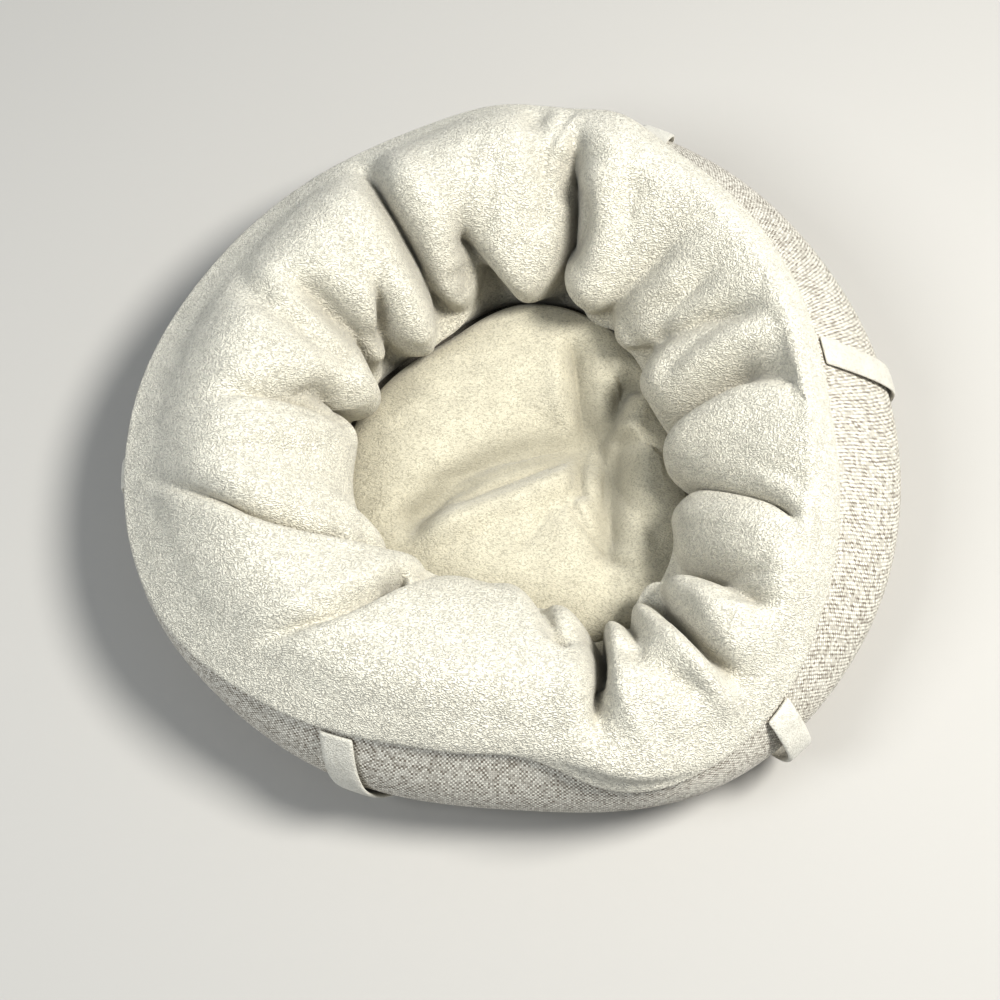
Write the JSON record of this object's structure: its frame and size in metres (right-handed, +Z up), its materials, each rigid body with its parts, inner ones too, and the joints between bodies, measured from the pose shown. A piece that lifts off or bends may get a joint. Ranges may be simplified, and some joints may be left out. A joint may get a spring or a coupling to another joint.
{
  "type": "round bolster pet bed",
  "caption": "Round pet bed: a filled fleece ring with a woven outer wall, a tufted pad in its hollow and flat carrying loops on the wall.",
  "frame": {"origin": "on the floor under the middle of the ring, on the underside of the base panel", "axes": "+Z up; +X towards the side where the woven wall shows most, -Y towards the viewer of the picture"},
  "size_m": [0.5961, 0.5703, 0.1801],
  "materials": {
    "fleece": "cream short-pile fleece",
    "woven": "greige heather plain weave"
  },
  "bodies": {
    "root": {"base_panel": "woven", "wall_panel": "woven", "bolster": "fleece", "pad": "fleece", "loop_east": "fleece", "loop_north_east": "fleece", "loop_north_west": "fleece", "loop_west": "fleece", "loop_south_west": "fleece", "loop_south_east": "fleece"}
  },
  "joints": []
}
